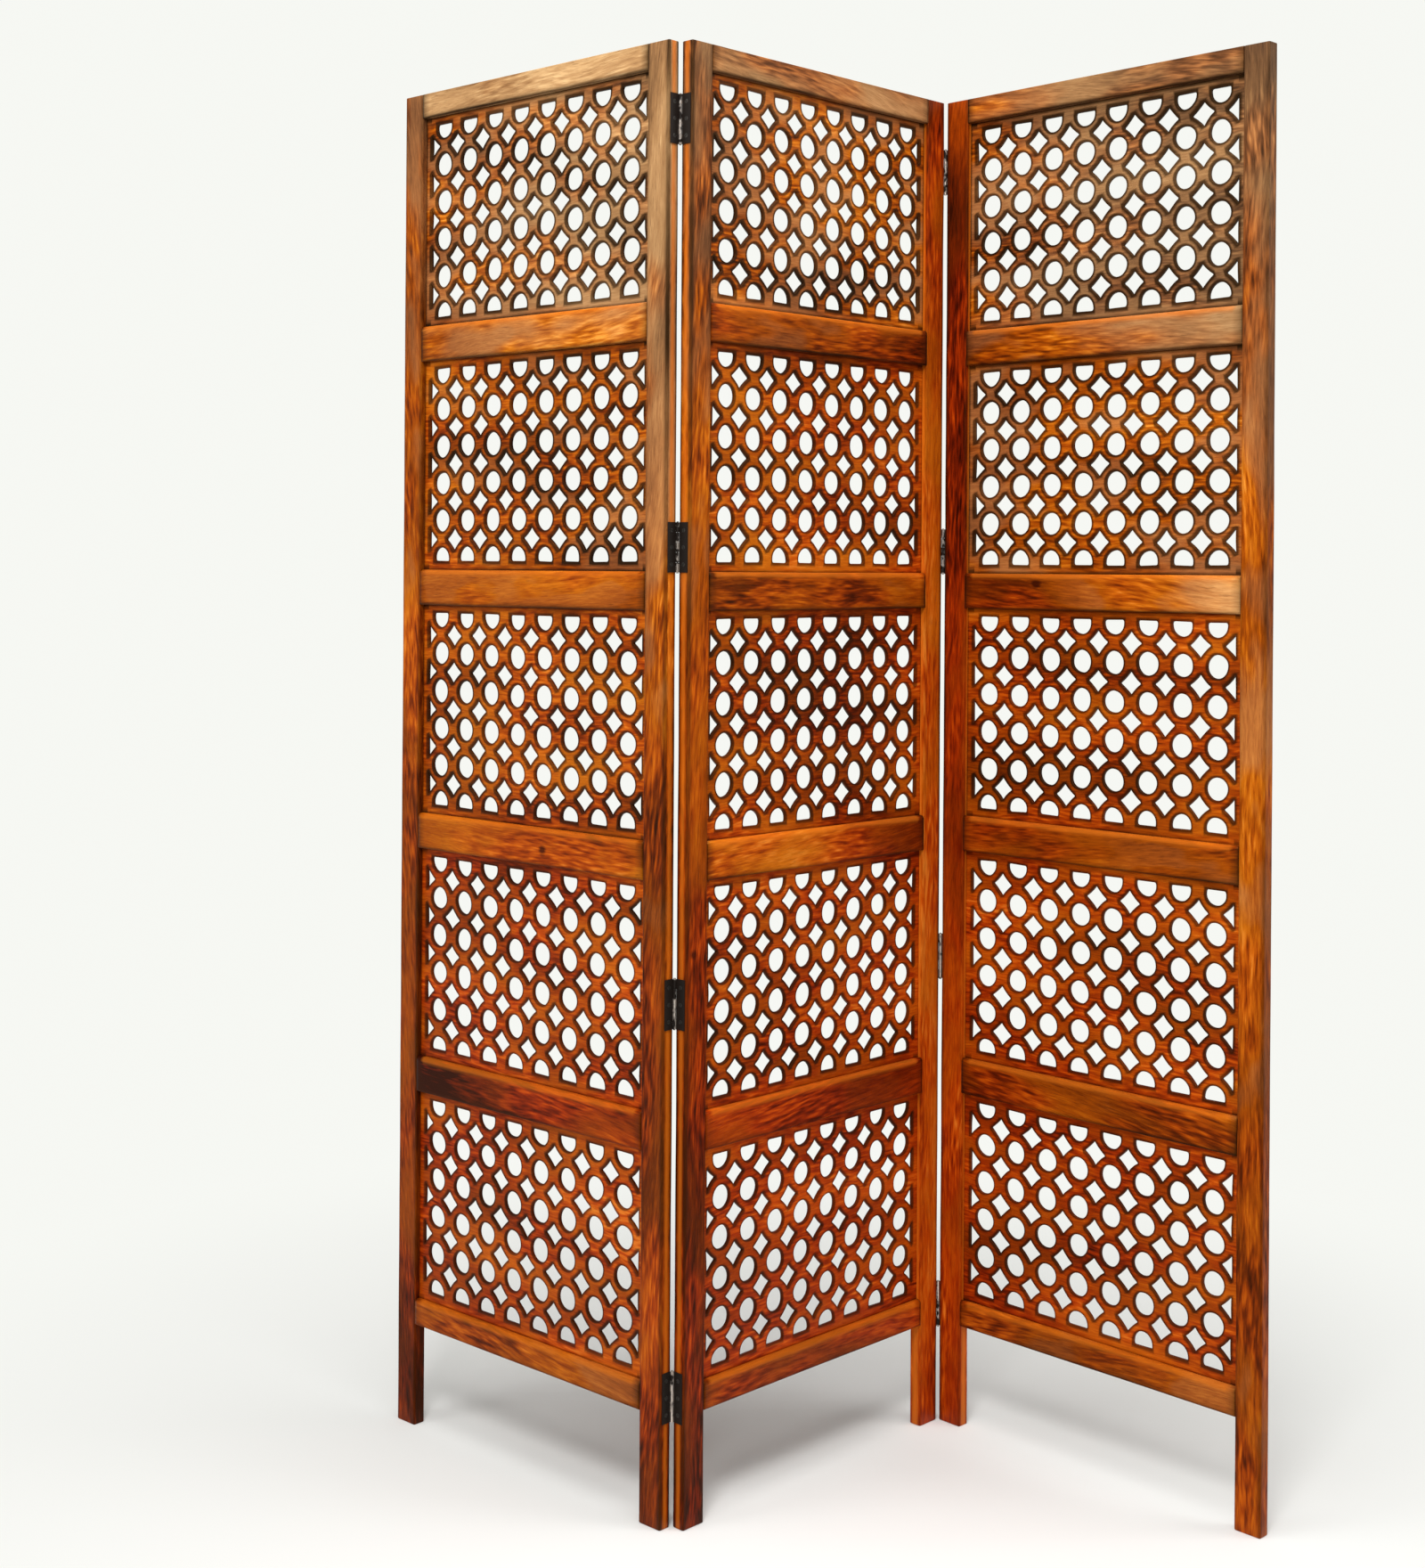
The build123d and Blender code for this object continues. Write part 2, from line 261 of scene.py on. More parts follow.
jali = {
    "pitch": 0.0508,
    "columns": 8,
    "rows": 4,
    "holeRadius": 0.0148,
    "diamondReach": 0.0160,
    "diamondBow": 0.0009,
    "diamondTip": 0.0010,
    "bowSteps": 3,
    "halfRingRise": 0.0044,
    "halfRingCorner": 0.0025,
    "topBorder": 0.0110,
    "bottomBorder": 0.0122,
    "tongue": 0.002,
    "thickness": 0.005,
    "easing": 0.0008,
    "rimWidth": 0.0045,
    # painted shade on the border where the plate goes into the frame
    "frameShade": 1.0,
    "wobble": 0.0014,
    "wobbleSize": 0.040,
    "wobbleFade": 0.006,
    "endMargin": 0.002,
    "mergeDistance": 0.00005,
    "seedSteps": (7.3, 1.7),
}
halfPitch = jali["pitch"] / 2
fieldWidth = jali["columns"] * jali["pitch"]
fieldHeight = (jali["rows"] + 1) * jali["pitch"]
sideBorder = (openingWidth - fieldWidth) / 2
fieldMiddle = jali["bottomBorder"] + jali["halfRingRise"] + fieldHeight / 2
tileLabels = "Ring quarter", "Side edge", "Top edge", "Bottom edge", "Top corner", "Bottom corner"


# faces of one tile; a point is (x, z, depth, rim), and rim is 1 at a sawn edge
class TileMesh:
    def __init__(self):
        self.mesh = bmesh.new()
        self.rim = self.mesh.verts.layers.float.new("rim")
        self.made = {}

    def vertex(self, point):
        x, z, depth, rim = point
        key = (round(x, 6), round(z, 6), round(depth, 6))
        if key not in self.made:
            self.made[key] = self.mesh.verts.new((x, depth, z))
            self.made[key][self.rim] = rim
        return self.made[key]

    # quads between two rows of points
    def strip(self, first, second, smooth=False):
        for index in range(len(first) - 1):
            corners = [first[index], first[index + 1], second[index + 1], second[index]]
            vertices = []
            for corner in map(self.vertex, corners):
                if corner not in vertices:
                    vertices.append(corner)
            if len(vertices) > 2:
                self.mesh.faces.new(vertices).smooth = smooth

    def strips(self, rows, smooth=False):
        for first, second in zip(rows, rows[1:]):
            self.strip(first, second, smooth)

    def finish(self, name):
        tile = newObject(name, meshOf(self.mesh, name))
        tile.hide_render = True
        return tile


# rows of points round a sawn edge, front to back; line(inset) gives the edge's points
# pulled back from the opening by inset
def cutRows(line):
    ease, thickness = jali["easing"], jali["thickness"]
    steps = [*eased(ease), (0, thickness - ease), (ease, thickness)]
    return [[(x, z, depth, 1) for x, z in line(inset)] for inset, depth in steps]


# points on one face of a plate, with painted shade where x or z comes to the frame
def flat(line, depth, side=math.inf, top=math.inf):
    return [(x, z, depth, jali["frameShade"] if x >= side or z >= top else 0) for x, z in line]


# the side of a diamond that faces a ring at the origin, pulled back by inset: an arc that bows
# into the diamond, between two rounded tips
def diamondSide(inset=0.0):
    reach, bow, tip = jali["diamondReach"], jali["diamondBow"], jali["diamondTip"]
    chord = reach / math.sqrt(2)
    radius = (chord**2 + bow**2) / (2 * bow)
    centre = halfPitch - (chord - bow + radius) / math.sqrt(2)
    run = halfPitch - centre
    tipCentre = centre + math.sqrt((radius + tip) ** 2 - run**2)
    lean = math.atan2(tipCentre - centre, run)
    rounding = tip + inset
    side = [
        (halfPitch + rounding * math.sin(angle), tipCentre - rounding * math.cos(angle))
        for angle in (0, (lean - math.pi / 2) / 2)
    ]
    bowRadius = radius - inset
    for step in range(jali["bowSteps"]):
        angle = lean + (math.pi / 4 - lean) * step / jali["bowSteps"]
        x = centre + bowRadius * math.cos(angle)
        side.append((x, centre + bowRadius * math.sin(angle)))
    return side + [(z, x) for x, z in side[::-1]]


# a quarter of one ring, from its centre to the middle of the diamond beyond it
def ringQuarter():
    tile = TileMesh()
    hole, thickness = jali["holeRadius"], jali["thickness"]
    neck = diamondSide()[0][1] / 2
    ends = [(halfPitch, 0), (halfPitch, neck)], [(neck, halfPitch), (0, halfPitch)]
    angles = [math.atan2(z, x) for x, z in [*ends[0], *diamondSide(), *ends[1]]]

    def circle(radius):
        return [(radius * math.cos(angle), radius * math.sin(angle)) for angle in angles]

    inner = cutRows(lambda inset: circle(hole + inset))
    tile.strips(inner, smooth=True)
    outer = cutRows(diamondSide)
    tile.strips(outer, smooth=True)
    for row, rim, depth in ((inner[0], outer[0], 0), (inner[-1], outer[-1], thickness)):
        middle = flat(circle(hole + jali["rimWidth"]), depth)
        tile.strip(row, middle)
        tile.strip(middle, [*flat(ends[0], depth), *rim, *flat(ends[1], depth)])
    return tile.finish("ringQuarter")


# the border beside one half diamond, from the middle of a ring to the middle of the next
def sideEdge():
    tile = TileMesh()
    thickness, pitch = jali["thickness"], jali["pitch"]
    width = sideBorder + jali["tongue"]
    tip = diamondSide()[0][1]

    def wall(inset):
        side = [(0, tip - inset), (inset, tip + jali["easing"]), (inset, halfPitch)]
        return side + [(x, pitch - z) for x, z in side[1::-1]]

    cut = cutRows(wall)
    tile.strips(cut, smooth=True)
    walls = []
    for rim, depth in ((cut[0], 0), (cut[-1], thickness)):
        start = flat([(0, 0), (0, tip / 2)], depth)
        end = flat([(0, pitch - tip / 2), (0, pitch)], depth)
        inside = [*start, *rim, *end]
        middle, outside = (
            flat([(x, point[1]) for point in inside], depth, width) for x in (width / 2, width)
        )
        tile.strip(inside, middle)
        tile.strip(middle, outside)
        walls.append(outside)
    tile.strips(walls)
    return tile.finish("sideEdge")


# the border over one half ring, with the straight sides and flat end of its opening
def endEdge(name, border):
    tile = TileMesh()
    hole, rise, corner = jali["holeRadius"], jali["halfRingRise"], jali["halfRingCorner"]
    top = rise + border + jali["tongue"]
    rim = hole + jali["rimWidth"]
    bendStart, bendTop, middle = hole - corner, rise - corner / 2, (rise + top) / 2

    def mirrored(side):
        return side + [(-x, z) for x, z in side[::-1]]

    def arch(inset):
        radius = corner + inset
        bend = [
            (bendStart + radius * math.cos(angle), rise - corner + radius * math.sin(angle))
            for angle in (0, math.pi / 4, math.pi / 2)
        ]
        return mirrored([(hole + inset, 0), *bend])

    cut = cutRows(arch)
    tile.strips(cut, smooth=True)
    walls = []
    for edge, depth in ((cut[0], 0), (cut[-1], jali["thickness"])):
        around = mirrored([(rim, 0), (rim, bendTop), (rim, middle), (bendStart, middle)])
        tile.strip(edge, flat(around, depth))
        for side in (1, -1):
            inner, outer = (
                flat([(side * x, z) for z in (0, bendTop, middle)], depth)
                for x in (rim, halfPitch)
            )
            tile.strip(inner, outer)
        lower, upper = (
            flat(mirrored([(halfPitch, z), (rim, z), (bendStart, z)]), depth, top=top)
            for z in (middle, top)
        )
        tile.strip(lower, upper)
        walls.append(upper)
    tile.strips(walls)
    return tile.finish(name)


# the plain corner of the border
def cornerEdge(name, border):
    tile = TileMesh()
    width = sideBorder + jali["tongue"]
    rise = jali["halfRingRise"]
    top = rise + border + jali["tongue"]
    rims = []
    for depth in (0, jali["thickness"]):
        columns = [
            flat([(x, z) for z in (0, rise, top)], depth, width, top)
            for x in (0, width / 2, width)
        ]
        tile.strips(columns)
        rims.append([column[-1] for column in columns] + columns[-1][-2::-1])
    tile.strips(rims)
    return tile.finish(name)


# sets the tiles out as one plate, with its pattern round the origin
def jaliTree():
    tree, source = newTree("jaliLattice", [
        *((label, "Object", None) for label in tileLabels),
        ("Columns", "Int", jali["columns"]),
        ("Rows", "Int", jali["rows"]),
        ("Pitch", "Float", jali["pitch"]),
        ("Wobble", "Float", jali["wobble"]),
        ("Wobble size", "Float", jali["wobbleSize"]),
        ("Wobble fade", "Float", jali["wobbleFade"]),
        ("End margin", "Float", jali["endMargin"]),
        ("Merge distance", "Float", jali["mergeDistance"]),
        ("Seed", "Float", 0.0),
        ("Wood", "Material", None),
    ])
    calc, vector = partial(mathNode, tree), partial(combineNode, tree)

    def tile(label):
        return objectShape(tree, source[label])

    def moved(geometry, place=(0, 0, 0), turn=(0, 0, 0), scale=(1, 1, 1)):
        return shapeNode(tree, "Transform", {
            "Geometry": geometry, "Translation": place, "Rotation": turn, "Scale": scale,
        })

    def joined(*parts):
        node = tree.nodes.new("GeometryNodeJoinGeometry")
        for part in parts:
            tree.links.new(part, node.inputs[0])
        return node.outputs[0]

    def line(count, start=(0, 0, 0), step=(0, 0, 0)):
        return shapeNode(tree, "MeshLine", {
            "Count": count, "Start Location": start, "Offset": step,
        })

    def onPoints(points, instance, turn=(0, 0, 0)):
        return shapeNode(tree, "InstanceOnPoints", {
            "Points": points, "Instance": instance, "Rotation": turn,
        })

    # a quarter is turned into the half ring of a border and the whole ring of the field
    pitch = source["Pitch"]
    index = tree.nodes.new("GeometryNodeInputIndex").outputs[0]
    quarterTurn = vector(y=calc("MULTIPLY", index, -math.pi / 2))
    half, ring = (onPoints(line(count), tile("Ring quarter"), quarterTurn) for count in (2, 4))
    columnSpan = calc("MULTIPLY", calc("SUBTRACT", source["Columns"], 1), pitch)
    rowSpan = calc("MULTIPLY", calc("SUBTRACT", source["Rows"], 1), pitch)
    grid = shapeNode(tree, "MeshGrid", {
        "Size X": columnSpan, "Size Y": rowSpan,
        "Vertices X": source["Columns"], "Vertices Y": source["Rows"],
    })
    rings = onPoints(moved(grid, turn=(math.pi / 2, 0, 0)), ring)

    # half rings and borders along the top and the bottom
    left = calc("MULTIPLY", columnSpan, -0.5)
    halfHeight = calc("MULTIPLY", calc("ADD", rowSpan, calc("MULTIPLY", pitch, 2)), 0.5)
    lowEdge = calc("MULTIPLY", halfHeight, -1)
    over = (0, math.pi, 0)
    topCap = joined(moved(half, turn=over), tile("Top edge"))
    bottomCap = joined(half, moved(tile("Bottom edge"), turn=over))
    alongColumns = vector(x=pitch)
    top = onPoints(line(source["Columns"], vector(left, 0, halfHeight), alongColumns), topCap)
    bottom = onPoints(line(source["Columns"], vector(left, 0, lowEdge), alongColumns), bottomCap)

    # borders beside the half diamonds, and the corners
    halfWidth = calc("MULTIPLY", calc("ADD", columnSpan, pitch), 0.5)
    sideRows = line(
        calc("ADD", source["Rows"], 1), vector(halfWidth, 0, lowEdge), vector(z=pitch),
    )
    rightSide = onPoints(sideRows, tile("Side edge"))
    leftSide = moved(rightSide, turn=over)
    corners = []
    for label, height, upright in (("Top corner", halfHeight, 1), ("Bottom corner", lowEdge, -1)):
        for side in (1, -1):
            across = calc("MULTIPLY", halfWidth, side)
            corners.append(moved(tile(label), vector(across, 0, height), scale=(side, 1, upright)))

    plate = joined(rings, top, bottom, rightSide, leftSide, *corners)
    plate = shapeNode(tree, "RealizeInstances", {"Geometry": plate})
    plate = shapeNode(tree, "MergeByDistance", {
        "Geometry": plate, "Distance": source["Merge distance"],
    })

    # the grain follows the plate as it was before the hand-cut wobble
    position = tree.nodes.new("GeometryNodeInputPosition").outputs[0]
    seeded = vector(source["Seed"], 0.0, source["Seed"])
    plate = shapeNode(tree, "StoreNamedAttribute", {
        "Geometry": plate, "Name": "grain", "Value": vectorNode(tree, "ADD", position, seeded)[0],
    }, data_type="FLOAT_VECTOR", domain="POINT")
    frequency = calc("DIVIDE", 1.0, source["Wobble size"])
    cloud = addNode(tree, "ShaderNodeTexNoise", {
        "Vector": position, "W": source["Seed"], "Scale": frequency, "Detail": 1.0,
    }, noise_dimensions="4D").outputs["Color"]
    # the cloud strays about a quarter from its middle, so four times the wobble
    amount = addNode(tree, "ShaderNodeVectorMath", {
        0: vectorNode(tree, "SUBTRACT", cloud, (0.5, 0.5, 0.5))[0],
        "Scale": calc("MULTIPLY", source["Wobble"], 4),
    }, operation="SCALE").outputs[0]
    # no wobble in the border that the frame holds
    fade = source["Wobble fade"]
    parts = addNode(tree, "ShaderNodeSeparateXYZ", {0: position}).outputs
    sideLimit = calc("ADD", halfWidth, fade)
    endLimit = calc("ADD", halfHeight, calc("ADD", fade, source["End margin"]))
    inside = [
        rangeNode(tree, calc("SUBTRACT", limit, calc("ABSOLUTE", part)), 0.0, fade)
        for part, limit in ((parts[0], sideLimit), (parts[2], endLimit))
    ]
    mask = calc("MULTIPLY", *inside)
    offset = vectorNode(tree, "MULTIPLY", amount, vector(mask, 0.0, mask))[0]
    plate = shapeNode(tree, "SetPosition", {"Geometry": plate, "Offset": offset})
    endTree(tree, plate, source["Wood"])
    return tree


def makeJalis(tree, wood):
    tiles = {
        "Ring quarter": ringQuarter(),
        "Side edge": sideEdge(),
        "Top edge": endEdge("topEdge", jali["topBorder"]),
        "Bottom edge": endEdge("bottomEdge", jali["bottomBorder"]),
        "Top corner": cornerEdge("topCorner", jali["topBorder"]),
        "Bottom corner": cornerEdge("bottomCorner", jali["bottomBorder"]),
    }
    for panelIndex, panel in enumerate(panelNames):
        for number in range(timber["openingCount"], 0, -1):
            node, name = f"{panel}_panel_jali_{number}", f"{panel}Jali{number}"
            seed = panelIndex * jali["seedSteps"][0] + number * jali["seedSteps"][1]
            start = bpy.data.meshes.new("start")
            mesh = treeMesh(tree, start, {**tiles, "Seed": seed, "Wood": wood})
            bottom = lowestOpening + (timber["openingCount"] - number) * openingStep
            inPanel = Matrix.Translation((0, timber["plateSetback"], bottom + fieldMiddle))
            # from the left end of the plate's look to the right one
            shares = [max(0, min(1, vertex.co.x / openingWidth + 0.5)) for vertex in mesh.vertices]
            mesh.transform(places[panel] @ inPanel)
            outwardFaces(mesh)
            mesh.name = name
            setLook(mesh, node, [(share, 0, 0) for share in shares])
            dress(newObject(name, mesh), panel, "jali_wood", node)
    for tile in tiles.values():
        bpy.data.objects.remove(tile)


# hinge screws

screw = {
    "hingesPerFold": 4,
    "perLeaf": 3,
    "spacing": 0.021,
    "leafThickness": 0.0015,
    "headRadius": 0.0028,
    "shankRadius": 0.0013,
    "length": 0.014,
    "tipLength": 0.003,
    "slotWidth": 0.0007,
    "slotDepth": 0.0006,
    "arcPoints": 6,
    "steel": (0.10, 0.09, 0.08),
    "roughness": 0.45,
}

# the folds of each panel, with the end of the panel that each is at
hingedEnds = {
    "left": [("left_fold", 1)],
    "centre": [("left_fold", -1), ("right_fold", 1)],
    "right": [("right_fold", -1)],
}


# a countersunk screw along -x, with a slot across its head
def screwShape():
    shell = bmesh.new()
    sink, head, shank = screw["leafThickness"], screw["headRadius"], screw["shankRadius"]
    half, count = screw["slotWidth"] / 2, screw["arcPoints"]
    gap = math.asin(half / head)
    turns = [
        side + gap + (math.pi - 2 * gap) * step / (count - 1)
        for side in (0, math.pi) for step in range(count)
    ]
    circle = [(math.cos(turn), math.sin(turn)) for turn in turns]

    def ring(x, radius):
        return [shell.verts.new((x, radius * y, radius * z)) for y, z in circle]

    tip = sink - screw["length"]
    rim, neck, shoulder = ring(sink, head), ring(0, shank), ring(tip + screw["tipLength"], shank)
    point = shell.verts.new((tip, 0, 0))
    floor = sink - screw["slotDepth"]
    reach = math.sqrt((shank + (head - shank) * floor / sink) ** 2 - half**2)
    last = 2 * count - 1
    # the floor of the slot, by the point of the rim that each corner is under
    slot = {
        0: shell.verts.new((floor, reach, half)),
        count - 1: shell.verts.new((floor, -reach, half)),
        count: shell.verts.new((floor, -reach, -half)),
        last: shell.verts.new((floor, reach, -half)),
    }
    faces = [rim[:count], rim[count:], list(slot.values())]
    faces += [(rim[a], rim[b], slot[b], slot[a]) for a, b in ((0, count - 1), (count, last))]
    for index in range(last + 1):
        after = (index + 1) % (last + 1)
        edge = [slot[n] for n in (after, index) if n in slot]
        if len(edge) == 2:
            faces.append((edge[1], edge[0], neck[after], neck[index]))
        else:
            inward = [slot[after]] if after in slot else []
            outward = [slot[index]] if index in slot else []
            faces.append((rim[index], rim[after], *inward, neck[after], neck[index], *outward))
        faces.append((neck[index], neck[after], shoulder[after], shoulder[index]))
        faces.append((shoulder[index], shoulder[after], point))
    for face in faces:
        shell.faces.new(face)
    bmesh.ops.recalc_face_normals(shell, faces=shell.faces)
    return meshOf(shell, "screw")


# a row of screws up each hinge's middle, each slot turned its own way
def screwTree():
    tree, source = newTree("hingeScrews", [
        ("Hinges", "Geometry", None),
        ("Screw", "Object", None),
        ("Per leaf", "Int", screw["perLeaf"]),
        ("Spacing", "Float", screw["spacing"]),
        ("Seed", "Int", 0),
        ("Steel", "Material", None),
    ])
    calc, vector = partial(mathNode, tree), partial(combineNode, tree)
    spacing = source["Spacing"]
    span = calc("MULTIPLY", calc("SUBTRACT", source["Per leaf"], 1), spacing)
    row = shapeNode(tree, "MeshLine", {
        "Count": source["Per leaf"], "Start Location": vector(z=calc("MULTIPLY", span, -0.5)),
        "Offset": vector(z=spacing),
    })
    rows = shapeNode(tree, "InstanceOnPoints", {"Points": source["Hinges"], "Instance": row})
    rows = shapeNode(tree, "RealizeInstances", {"Geometry": rows})
    chance = addNode(tree, "FunctionNodeRandomValue", {2: 0.0, 3: math.pi, "Seed": source["Seed"]})
    screws = shapeNode(tree, "InstanceOnPoints", {
        "Points": rows, "Instance": objectShape(tree, source["Screw"]),
        "Rotation": vector(x=chance.outputs[1]),
    })
    endTree(tree, shapeNode(tree, "RealizeInstances", {"Geometry": screws}), source["Steel"])
    return tree


def makeScrews(tree, steel):
    shape = newObject("screw", screwShape())
    for seed, panel in enumerate(panelNames):
        whole = bmesh.new()
        for fold, side in hingedEnds[panel]:
            leaves = [
                f"{fold}_hinge_{number}_{panel}_leaf"
                for number in range(1, screw["hingesPerFold"] + 1)
            ]
            middles = bpy.data.meshes.new("hinges")
            middles.from_pydata([(0, 0, boxCentre(leaf).z) for leaf in leaves], [], [])
            values = {"Screw": shape, "Seed": seed * 2 + (side > 0), "Steel": steel}
            mesh = treeMesh(tree, middles, values)
            toEnd = Matrix.Translation((side * panelWidth / 2, timber["thickness"] / 2, 0))
            turn = Matrix.Rotation(0 if side > 0 else math.pi, 4, "Z")
            mesh.transform(places[panel] @ toEnd @ turn)
            whole.from_mesh(mesh)
        mesh.clear_geometry()
        whole.to_mesh(mesh)
        whole.free()
        mesh.name = f"{panel}Screws"
        dress(newObject(f"{panel}Screws", mesh), panel, "screw_steel", f"{panel}_panel_screws")
    bpy.data.objects.remove(shape)


# frame boards

board = {
    "stileEdge": 0.002,
    "railEdge": 0.0012,
    "sillEdge": 0.0045,
    "footEasing": 0.0015,
    "topEasing": 0.001,
    "arcSteps": 4,
    "stationStep": 0.022,
    "wander": 0.0003,
    "wanderPace": (5, 20),  # along and across
    "wanderSeed": 1,
    "wear": 0.4,
    "wearPace": (9, 5.0, 3.1),  # along, by corner and by board
    "grainLean": 7,  # degrees
    "grainSpan": 40,
    "rimSteps": [(0.0022, 0.35), (0.0055, 0.0)],
    "rimGap": 0.002,
    # painted shade towards a rail's ends, where it meets the stiles
    "endShade": [(0, 1.0), (0.004, 0.6), (0.014, 0.0)],
}

# darkening (above 0) or paling (below 0) at the corners of a board, front low, front high, back
# high and back low, and along the middle of its front, high side, back and low side: burn along
# the arrises, painted shade on the rails' undersides and lower arrises, at the fold corners and on
# the inner side of the left panel's left stile, and painted highlight on the sills, the rails'
# tops and the stiles' inner sides and fold ends
burnShadeAndHighlight = {
    "left_panel_left_stile": ([0.4, 0.8, 0.4, 0.4], [0, 0.8, 0, 0.2]),
    "right_panel_right_stile": ([0.4, 0.5, 0.4, 0.4], [0, 0.2, 0, 0.0]),
    "left_stile": ([1.4, 0.4, 0.4, 1.2], [0, -0.9, 0, -0.7]),
    "right_stile": ([0.4, 1.4, 1.2, 0.4], [0, -0.7, 0, -0.9]),
    "rail": ([1.0, -0.6, -0.5, 0.8], [0, -0.4, 0, 0.4]),
    "top_rail": ([1.0, 0.2, 0.2, 0.8], [0, 0, 0, 0.4]),
}


# closed outline of a board, (across, depth, rim) points; edges are the radii of its corners
def boardSection(width, thickness, edges, rims):
    corners = [(-1, -1), (1, -1), (1, 1), (-1, 1)]
    outline = []
    for index, ((across, depth), radius, rim) in enumerate(zip(corners, edges, rims[0])):
        centreA = across * (width / 2 - radius)
        centreD = thickness / 2 + depth * (thickness / 2 - radius)
        start = math.pi * (1 + index / 2)
        arc = []
        for step in range(board["arcSteps"] + 1):
            angle = start + math.pi / 2 * step / board["arcSteps"]
            a, d = centreA + radius * math.cos(angle), centreD + radius * math.sin(angle)
            arc.append((a, d, rim))
        outline.append(arc)
    loop = []
    for side, (arc, middle) in enumerate(zip(outline, rims[1])):
        loop += arc
        start, end = Vector(arc[-1]), Vector(outline[(side + 1) % 4][0])
        way = (end - start).xy.normalized()
        reach = (thickness if side % 2 else width) / 2 - board["rimGap"]
        near = [(inset, share) for inset, share in board["rimSteps"] if inset < reach]
        for inset, share in near:
            loop.append((*(start.xy + way * inset), middle + (start.z - middle) * share))
        if side % 2:
            loop.append((*((start + end) / 2).xy, middle))
        for inset, share in near[::-1]:
            loop.append((*(end.xy - way * inset), middle + (end.z - middle) * share))
    return loop


# a board from start to end along x or z of its panel; where gives a point its place in the panel
def boardMesh(node, where, length, width, edges, rims, easings, seed):
    thickness = timber["thickness"]
    if sum(easings):
        lows = [(run, inset, 0) for run, inset in eased(easings[0])[::-1]]
        highs = [(run, inset, 0) for run, inset in eased(easings[1])]
    else:
        # a rail gets painted shade towards its ends, where it meets the stiles
        lows = [(run, 0, frameShade) for run, frameShade in board["endShade"]]
        highs = lows[::-1]
    highs = [(length - run, inset, frameShade) for run, inset, frameShade in highs]
    first, last = lows[-1][0], highs[0][0]
    count = round((last - first) / board["stationStep"])
    inner = [(first + (last - first) * n / count, 0, 0) for n in range(1, count)]
    # each board is cut from its own part of the wood, a little askew
    chance = Random(seed)
    lean = math.radians(chance.uniform(-board["grainLean"], board["grainLean"]))
    start = Vector([chance.uniform(0, board["grainSpan"]) for axis in range(3)])
    shell = bmesh.new()
    rimLayer = shell.verts.layers.float.new("rim")
    grainLayer = shell.verts.layers.float_vector.new("grain")
    rings, spots = [], []
    wearPace, cornerPace, seedPace = board["wearPace"]
    longPace, crossPace = board["wanderPace"]
    for along, inset, frameShade in lows + inner + highs:
        worn = []
        for index, radius in enumerate(edges):
            swing = noise.noise((along * wearPace, index * cornerPace, seed * seedPace))
            worn.append(radius * (1 + board["wear"] * swing))
        ring = []
        for across, depth, rim in boardSection(width, thickness, worn, rims):
            across *= 1 - 2 * inset / width
            depth = thickness / 2 + (depth - thickness / 2) * (1 - 2 * inset / thickness)
            spot = (along * longPace, across * crossPace, depth * crossPace + seed)
            sway = noise.noise_vector(spot) * board["wander"]
            vertex = shell.verts.new(where(along, across + sway.x, depth + sway.y))
            vertex[rimLayer] = rim + frameShade * (1 - rim)
            spots.append((along / length, along, across))
            turned = Matrix.Rotation(lean, 2) @ Vector((along, across))
            vertex[grainLayer] = start + Vector((turned.x, depth, turned.y))
            ring.append(vertex)
        rings.append(ring)
    for low, high in zip(rings, rings[1:]):
        for index in range(len(low)):
            after = (index + 1) % len(low)
            shell.faces.new((low[index], low[after], high[after], high[index])).smooth = True
    shell.faces.new(rings[0])
    shell.faces.new(rings[-1])
    bmesh.ops.recalc_face_normals(shell, faces=shell.faces)
    mesh = meshOf(shell, node)
    setLook(mesh, node, spots)
    return mesh


# gives each vertex its look, from its share of the way along the board, and its way from the knot
def setLook(mesh, node, spots):
    panel = node.split("_panel")[0] + "_panel"
    stations = looks.get(node, looks[panel])
    steps = max(1, len(stations) - 1)
    stations = stations + stations[-1:] * 2  # so that the last one has a next one, too
    for index, label in enumerate(("tone", "blushAndGlare")):
        values = []
        for share, along, across in spots:
            place = share * steps
            station = int(place)
            start, end = (stations[n][index] for n in (station, station + 1))
            values.append(start + (end - start) * (place - station))
        mesh.attributes.new(label, "FLOAT", "POINT").data.foreach_set("value", values)
    away, knot = [], knots.get(node)
    for share, along, across in spots:
        away += (along - knot[0], 0, across - knot[1]) if knot else (1, 1, 1)
    mesh.attributes.new("knot", "FLOAT_VECTOR", "POINT").data.foreach_set("vector", away)


# the boards of a panel: where the middle line of each starts, its length and its width
def boardPlans():
    apart = (panelWidth - timber["stileWidth"]) / 2
    plans = {
        name: (side * apart, 0, panelHeight, timber["stileWidth"])
        for side, name in ((-1, "left_stile"), (1, "right_stile"))
    }
    rails = {"bottom_rail": (timber["legHeight"], timber["bottomRailHeight"])}
    for number in range(1, timber["openingCount"]):
        opening = timber["openingCount"] - 1 - number
        low = lowestOpening + openingHeight + opening * openingStep
        rails[f"middle_rail_{number}"] = (low, timber["middleRailHeight"])
    rails["top_rail"] = (panelHeight - timber["topRailHeight"], timber["topRailHeight"])
    for name, (low, height) in rails.items():
        plans[name] = (-openingWidth / 2, low + height / 2, openingWidth, height)
    return plans


